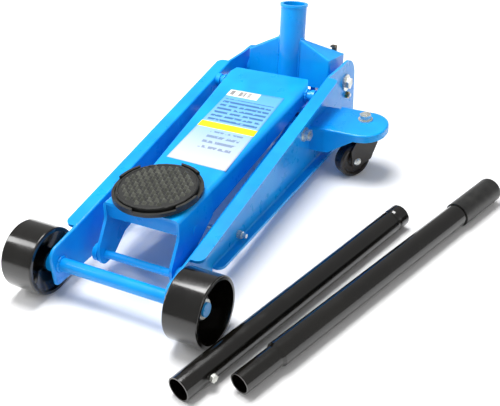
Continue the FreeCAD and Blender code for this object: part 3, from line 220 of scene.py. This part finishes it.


# Black iron, rubber and nylon differ mostly in grain and in how wide their soft highlight is. The studs are
# given a paler rubber than the pad between them, as painted light on the studs, which is what makes the
# rows read from afar.
CAST = dull("cast_saddle", "151513", "2e2e2a", 0.42, 2.2, 0.25)
RUBBER = dull("pad_rubber", "0d0e0c", "1c1d1a", 0.55, 1.2, 0.1)
LIT_STUD = dull("painted_lit_stud_rubber", "44463f", "6e7067", 0.36, 1.6, 0.1, 0.1)
GRIP = dull("grip_rubber", "0e0e0d", "2a2a28", 0.38, 1.6, 0.15, 0.1)
PLASTIC = dull("caster_nylon", "15100d", "2a231e", 0.32, 2.5, 0.08)
FORK = dull("caster_fork_black", "100c0a", "26201c", 0.35, 3.0, 0.1)
print("dull blacks:", CAST.name, RUBBER.name, LIT_STUD.name, GRIP.name, PLASTIC.name, FORK.name)

# %% [markdown]
# ## Dress the CAD pieces
# Pressed and machined parts keep their CAD shape. A bevel modifier rounds each sharp edge a little, so
# that it catches a line of light as a real edge does.

# %% Materials on the CAD nodes
DRESS = {
    BLUE: ["side_plate_left", "side_plate_right", "front_axle", "unit_cradle", "lift_arm", "arm_hub_tube",
           "crank_ears", "saddle_bracket", "bracket_brace", "lower_cross_rod", "link_rod_left",
           "link_rod_right", "yoke_shell", "handle_socket", "pump_lever", "caster_stubs", "caster_arm_left",
           "caster_arm_right", "unit_block", "arm_pivot_shaft", "axle_collars", "arm_shaft_spacers",
           "yoke_pivot_spacers", "bracket_pivot_pins", "link_eye_washers"],
    BLACK: ["front_wheel_left", "front_wheel_right", "handle_lower_tube", "handle_upper_tube"],
    ZINC: ["axle_retaining_rings", "tie_rod", "tie_rod_nuts", "ear_bolts", "link_pivot_bolts",
           "link_bolt_nuts", "yoke_pivot_bolts", "yoke_pivot_washers", "yoke_pivot_nuts",
           "caster_stem_bolts", "caster_stem_nuts", "caster_rivet_left", "caster_rivet_right",
           "handle_screw"],
    BRASSY: ["ear_nuts"],
    TURNED: ["crank_pin", "ram", "pump_plunger", "pump_roller", "release_valve", "saddle_stem_ring",
             "caster_swivel_bearings"],
    TAB: ["yoke_tab"],
    CAST: ["saddle"],
    RUBBER: ["saddle_pad"],
    GRIP: ["handle_grip"],
    PLASTIC: ["caster_wheel_left", "caster_wheel_right"],
    FORK: ["caster_fork_left", "caster_fork_right"],
}


def dress(node, material, bevel_mm=0.7):
    """Puts one material on a CAD node and softens its edges at render time."""
    mesh = node.data
    mesh.materials.clear()
    mesh.materials.append(material)
    for polygon in mesh.polygons:
        polygon.material_index = 0
    soften = node.modifiers.new("edge_light", "BEVEL")
    soften.width = bevel_mm * MM
    soften.segments = 2
    soften.limit_method = "ANGLE"
    soften.angle_limit = math.radians(50)
    soften.harden_normals = False
    soften.use_clamp_overlap = True


dressed = 0
for material, names in DRESS.items():
    for name in names:
        dress(NODES[name], material)
        dressed += 1
print("dressed", dressed, "of", len(NODES))

# %% [markdown]
# ## Small pieces that a plain solid lacks

# %% Mesh helpers


def piece(name, mesh, material, body, smooth=True):
    """A new visible piece that rides on a CAD body."""
    obj = bpy.data.objects.new(name, mesh)
    bpy.context.scene.collection.objects.link(obj)
    mesh.materials.append(material)
    if smooth:
        for polygon in mesh.polygons:
            polygon.use_smooth = True
    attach(obj, body)
    return obj


def weld_bead(name, path, radius_mm, body, closed, seed, material=None):
    """A rope of weld along a path: round in section, with a ripple every few millimetres."""
    rng = random.Random(seed)
    mesh = bpy.data.meshes.new(name)
    build = bmesh.new()
    rings = []
    sides = 10
    total = len(path)
    for i, point in enumerate(path):
        ahead = path[(i + 1) % total] if closed or i + 1 < total else point
        behind = path[i - 1] if closed or i else point
        along = (Vector(ahead) - Vector(behind)).normalized()
        one = along.orthogonal().normalized()
        two = along.cross(one)
        swell = radius_mm * MM * (1 + 0.16 * math.sin(i * 1.9) + 0.08 * rng.uniform(-1, 1))
        if not closed and i in (0, total - 1):
            swell *= 0.35
        rings.append([build.verts.new(Vector(point) + (one * math.cos(t) + two * math.sin(t)) * swell)
                      for t in [2 * math.pi * k / sides for k in range(sides)]])
    pairs = range(total) if closed else range(total - 1)
    for i in pairs:
        first, second = rings[i], rings[(i + 1) % total]
        offset = 0
        if closed and i == total - 1:
            offset = min(range(sides), key=lambda k: (first[0].co - second[k].co).length)
        for k in range(sides):
            build.faces.new((first[k], first[(k + 1) % sides],
                             second[(k + 1 + offset) % sides], second[(k + offset) % sides]))
    if not closed:
        build.faces.new(rings[0])
        build.faces.new(list(reversed(rings[-1])))
    bmesh.ops.recalc_face_normals(build, faces=build.faces)
    build.to_mesh(mesh)
    build.free()
    return piece(name, mesh, material or BLUE, body)


def circle_path(centre, radius, axis, count, start=0.0, sweep=2 * math.pi):
    """Points round a centre, in the plane across an axis."""
    axis = Vector(axis).normalized()
    one = axis.orthogonal().normalized()
    two = axis.cross(one)
    full = abs(sweep - 2 * math.pi) < 1e-6
    steps = count if full else count - 1
    return [Vector(centre) + (one * math.cos(a) + two * math.sin(a)) * radius
            for a in [start + sweep * i / steps for i in range(count)]]


# %% [markdown]
# ### Saddle studs
# Rows of small blunt pyramids on the pad, staggered row by row, inside a round rim. They are real
# mesh, not bump, because they show in outline from the side.

# %% Studs


def saddle_studs():
    low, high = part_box("saddle_pad")
    centre = (low + high) / 2
    reach = (high.x - low.x) / 2 - 6 * MM
    top = high.z
    pitch = 10.6 * MM
    half = 3.6 * MM
    rise = 4.5 * MM
    mesh = bpy.data.meshes.new("saddle_studs")
    build = bmesh.new()
    turn = Matrix.Rotation(math.radians(16), 3, "Z")
    count = 0
    rows = int(2 * reach / pitch) + 2
    for r in range(-rows, rows + 1):
        for c in range(-rows, rows + 1):
            x = (c + 0.5 * (r % 2)) * pitch
            y = r * pitch * 0.86
            if math.hypot(x, y) > reach - half:
                continue
            at = Vector((centre.x, centre.y, top)) + turn @ Vector((x, y, 0))
            foot = [build.verts.new(at + turn @ Vector((sx * half, sy * half, -0.4 * MM)))
                    for sx, sy in ((-1, -1), (1, -1), (1, 1), (-1, 1))]
            tip = [build.verts.new(at + turn @ Vector((sx * half * 0.22, sy * half * 0.22, rise)))
                   for sx, sy in ((-1, -1), (1, -1), (1, 1), (-1, 1))]
            for k in range(4):
                build.faces.new((foot[k], foot[(k + 1) % 4], tip[(k + 1) % 4], tip[k]))
            build.faces.new(tip)
            build.faces.new(list(reversed(foot)))
            count += 1
    build.to_mesh(mesh)
    build.free()
    # The studs' paler rubber is painted light, standing in for light on their faces against the dark pad.
    studs = piece("saddle_studs", mesh, LIT_STUD, "saddle_swivel", smooth=False)
    round_off = studs.modifiers.new("round", "BEVEL")
    round_off.width = 0.35 * MM
    round_off.segments = 2
    rim_path = circle_path((centre.x, centre.y, top - 0.3 * MM), reach + 4.2 * MM, (0, 0, 1), 96)
    rim = weld_bead("pad_rim", rim_path, 1.5, "saddle_swivel", True, 3, RUBBER)
    print("studs", count)


saddle_studs()

# %% [markdown]
# ### Sticker
# A printed label on the arm's flat top: near white at the saddle end and pale blue behind, with a
# yellow band, and broken lines where print would be. It has no words. The print is worked out from
# position in the shader, so it stays sharp and needs no picture.

# %% Sticker


def sticker_material(x_span, y_span):
    """Print by position: u runs across the arm and v along it, both 0 to 1."""
    g = Graph("printed_label")
    split = g.add("SeparateXYZ", None, Vector=g.place())
    u = g.spread(split.outputs["X"], x_span[0], x_span[1])
    v = g.spread(split.outputs["Y"], y_span[0], y_span[1])

    def band(value, low, high):
        over = g.maths("GREATER_THAN", value, low)
        under = g.maths("LESS_THAN", value, high)
        return g.maths("MULTIPLY", over, under)

    sky = g.blend(g.spread(v, 0.1, 0.6), linear("c4cadc"), linear("78b4e6"))
    sky = g.blend(g.spread(v, 0.6, 0.95), sky, linear("5aa8e4"))
    rows = g.maths("FRACT", g.maths("MULTIPLY", v, 20.0))
    word_place = g.add("Mapping", None, Vector=g.place(), Scale=(140, 97.65, 1)).outputs["Vector"]
    words = g.add("TexNoise", None, Vector=word_place, Scale=1.0, Detail=1.0).outputs["Fac"]
    print_line = g.maths("MULTIPLY", g.maths("LESS_THAN", rows, 0.5), g.maths("GREATER_THAN", words, 0.4))
    small = g.maths("MULTIPLY", print_line, g.maths("MULTIPLY", band(v, 0.55, 0.86), band(u, 0.08, 0.93)))
    medium = g.maths("MULTIPLY", g.maths("LESS_THAN", g.maths("FRACT", g.maths("MULTIPLY", v, 15.0)), 0.45),
                     g.maths("MULTIPLY", band(v, 0.2, 0.42), band(u, 0.3, 0.85)))
    medium = g.maths("MULTIPLY", medium, g.maths("GREATER_THAN", words, 0.44))
    colour = g.blend(g.maths("MULTIPLY", small, 0.85), sky, linear("2a5c98"))
    colour = g.blend(g.maths("MULTIPLY", medium, 0.6), colour, linear("4a5a78"))
    colour = g.blend(band(v, 0.45, 0.525), colour, linear("ffe500"))
    box_mask = g.maths("MULTIPLY", band(v, 0.9, 0.99), band(u, 0.02, 0.58))
    colour = g.blend(box_mask, colour, linear("fafafa"))
    bar_place = g.add("Mapping", None, Vector=g.place(), Scale=(420, 1, 1)).outputs["Vector"]
    bars = g.maths("GREATER_THAN", g.add("TexNoise", None, Vector=bar_place, Scale=1.0).outputs["Fac"], 0.5)
    bars = g.maths("MULTIPLY", bars, g.maths("MULTIPLY", band(v, 0.915, 0.975), band(u, 0.07, 0.53)))
    colour = g.blend(g.maths("MULTIPLY", bars, 0.8), colour, linear("555555"))
    film = g.bump(g.noise(18, 3), 0.15, 0.3)
    g.surface(Base_Color=colour, Roughness=g.spread(g.noise(25, 4), 0.3, 0.7, 0.28, 0.42), Normal=film,
              Coat_Weight=0.3, Coat_Roughness=0.15)
    return g.material


def sticker(corners):
    """The label lies on the arm's top, which falls towards the saddle."""
    top_rear, slope, rear = 0.144, 0.104, 0.484
    lift = 0.25 * MM
    mesh = bpy.data.meshes.new("arm_label")
    build = bmesh.new()
    across, along = 24, 48
    grid = []
    for j in range(along + 1):
        t = j / along
        left = Vector(corners[0]).lerp(Vector(corners[3]), t)
        right = Vector(corners[1]).lerp(Vector(corners[2]), t)
        row = []
        for i in range(across + 1):
            p = left.lerp(right, i / across)
            row.append(build.verts.new((p.x, p.y, top_rear - (rear - p.y) * slope + lift)))
        grid.append(row)
    for j in range(along):
        for i in range(across):
            build.faces.new((grid[j][i], grid[j][i + 1], grid[j + 1][i + 1], grid[j + 1][i]))
    build.to_mesh(mesh)
    build.free()
    xs = [c[0] for c in corners]
    ys = [c[1] for c in corners]
    label = piece("arm_label", mesh, sticker_material((min(xs), max(xs)), (min(ys), max(ys))), "arm")
    thick = label.modifiers.new("film", "SOLIDIFY")
    thick.thickness = 0.15 * MM
    thick.offset = -1
    print("label", [round(v * 1000) for v in (min(xs), max(xs), min(ys), max(ys))], "mm")


sticker([(-0.0469, 0.2172), (0.058, 0.2148), (0.055, 0.4196), (-0.0429, 0.417)])

# %% [markdown]
# ### Weld beads
# Where the axle, arm hub and socket tube are welded on, a rippled bead fills the corner. Each is a
# swept ring with a radius that swells and shrinks, which is cheaper than sculpting and still reads.

# %% Weld beads


def weld_beads():
    plate_inside, plate_outside = 92.6 * MM, 97.1 * MM
    axle_height = 50 * MM
    hub_side, hub_back, hub_height = 77.9 * MM, 458.6 * MM, 128 * MM
    for side in (LEFT, RIGHT):
        tag = "right" if side > 0 else "left"
        outer = circle_path((side * (plate_outside + 1.2 * MM), 0, axle_height), 15.4 * MM, (1, 0, 0), 60)
        weld_bead(f"axle_weld_{tag}", outer, 1.7, "chassis", True, 11 + side)
        inner = circle_path((side * (plate_inside - 1.0 * MM), 0, axle_height), 10.8 * MM, (1, 0, 0), 52)
        weld_bead(f"axle_weld_inner_{tag}", inner, 2.0, "chassis", True, 21 + side)
        hub = circle_path((side * hub_side, hub_back, hub_height), 9.8 * MM, (1, 0, 0), 48)
        weld_bead(f"hub_weld_{tag}", hub, 1.9, "arm", True, 31 + side)
    tilt = math.radians(12)
    along = Vector((0, math.sin(tilt), math.cos(tilt)))
    forward = Vector((0, -math.cos(tilt), math.sin(tilt)))
    socket_ahead = 25.2
    foot = Vector((0, 0.576, 0.1015)) + forward * socket_ahead * MM
    radius = 22.9 * MM
    touch = 10.8 * MM
    across = math.sqrt(radius ** 2 - touch ** 2)
    for side in (LEFT, RIGHT):
        tag = "right" if side > 0 else "left"
        corner = foot + forward * touch + Vector((side * across, 0, 0))
        path = [corner + along * (z * MM) for z in range(-6, 70, 2)]
        weld_bead(f"socket_weld_{tag}", path, 1.5, "yoke", False, 41 + side)
    roof = []
    peak, level_to, fall, points = 72.0, -29, 0.5, 31
    for k in range(points):
        a = -0.4 + (math.pi + 0.8) * k / (points - 1)
        ahead = -math.sin(a) * radius
        past_edge = -ahead / MM - socket_ahead - level_to
        height = (peak - fall * max(0.0, past_edge) + 0.6) * MM
        roof.append(foot + forward * ahead + Vector((math.cos(a) * radius, 0, 0)) + along * height)
    weld_bead("socket_weld_top", roof, 1.7, "yoke", False, 51)


weld_beads()

# %% [markdown]
# ## Floor, light and camera
# A wide pale floor, one large soft light above and a strip on each side, as in a small studio. The
# world is kept dim, because a bright one washes the colour out of gloss paint.

# %% Stage


def stage():
    g = Graph("studio_floor")
    tone = g.blend(g.spread(g.noise(400, 2), 0.3, 0.7), linear("fbfbfb"), linear("ffffff"))
    g.surface(Base_Color=tone, Roughness=0.9)
    g.feed(g.shader, "Specular IOR Level", 0.1)
    mesh = bpy.data.meshes.new("floor")
    build = bmesh.new()
    size = 6.0
    signs = ((-1, -1), (1, -1), (1, 1), (-1, 1))
    build.faces.new([build.verts.new((sx * size, sy * size, 0)) for sx, sy in signs])
    build.to_mesh(mesh)
    build.free()
    floor = bpy.data.objects.new("floor", mesh)
    bpy.context.scene.collection.objects.link(floor)
    mesh.materials.append(g.material)
    world = bpy.data.worlds.new("studio")
    world.use_nodes = True
    bpy.context.scene.world = world
    background = world.node_tree.nodes["Background"]
    background.inputs["Color"].default_value = (1, 1, 1, 1)
    background.inputs["Strength"].default_value = 0.38


def soft_light(name, at, aim, size, power):
    light = bpy.data.lights.new(name, "AREA")
    light.shape = "RECTANGLE"
    light.size, light.size_y = size
    light.energy = power
    lamp = bpy.data.objects.new(name, light)
    lamp.location = at
    lamp.rotation_mode = "QUATERNION"
    lamp.rotation_quaternion = (Vector(aim) - Vector(at)).to_track_quat("-Z", "Y")
    bpy.context.scene.collection.objects.link(lamp)


stage()
soft_light("overhead", (-0.2, 0.35, 1.7), (0, 0.28, 0), (0.9, 0.9), 36)
soft_light("left_strip", (-1.5, -0.5, 1.0), (0, 0.25, 0.1), (0.4, 1.4), 16)
soft_light("right_strip", (1.6, -0.2, 0.8), (0, 0.25, 0.1), (0.15, 1.0), 3.5)

# %% Camera


def camera():
    """A three-quarter view from the saddle end and a little above, with a slight roll."""
    azimuth, elevation, roll = (math.radians(v) for v in (30.4, 33.96, -4.1))
    back = Vector((math.sin(azimuth) * math.cos(elevation), -math.cos(azimuth) * math.cos(elevation),
                   math.sin(elevation)))
    right = Vector((0, 0, 1)).cross(back).normalized()
    up = back.cross(right)
    turned_right = right * math.cos(roll) + up * math.sin(roll)
    turned_up = -right * math.sin(roll) + up * math.cos(roll)
    tx, ty, tz = -78.91, 18.37, 1437.41
    frame_width, focal_length = 500, 858.3
    scale = 0.93 * MM
    focus = Vector((0, 250, 60))
    at = focus - turned_right * tx - turned_up * ty + back * tz
    data = bpy.data.cameras.new("camera")
    data.sensor_width = 36
    data.lens = focal_length * data.sensor_width / frame_width
    data.clip_start, data.clip_end = 0.05, 50
    data.shift_x, data.shift_y = 1.3 / frame_width, -1.0 / frame_width
    obj = bpy.data.objects.new("camera", data)
    obj.matrix_world = Matrix.Translation(at * scale) @ Matrix(
        (turned_right, turned_up, back)).transposed().to_4x4()
    bpy.context.scene.collection.objects.link(obj)
    bpy.context.scene.camera = obj
    print("camera at", [round(v, 3) for v in obj.matrix_world.translation], "lens", round(data.lens, 1))


camera()
bpy.context.scene.view_settings.view_transform = "Standard"
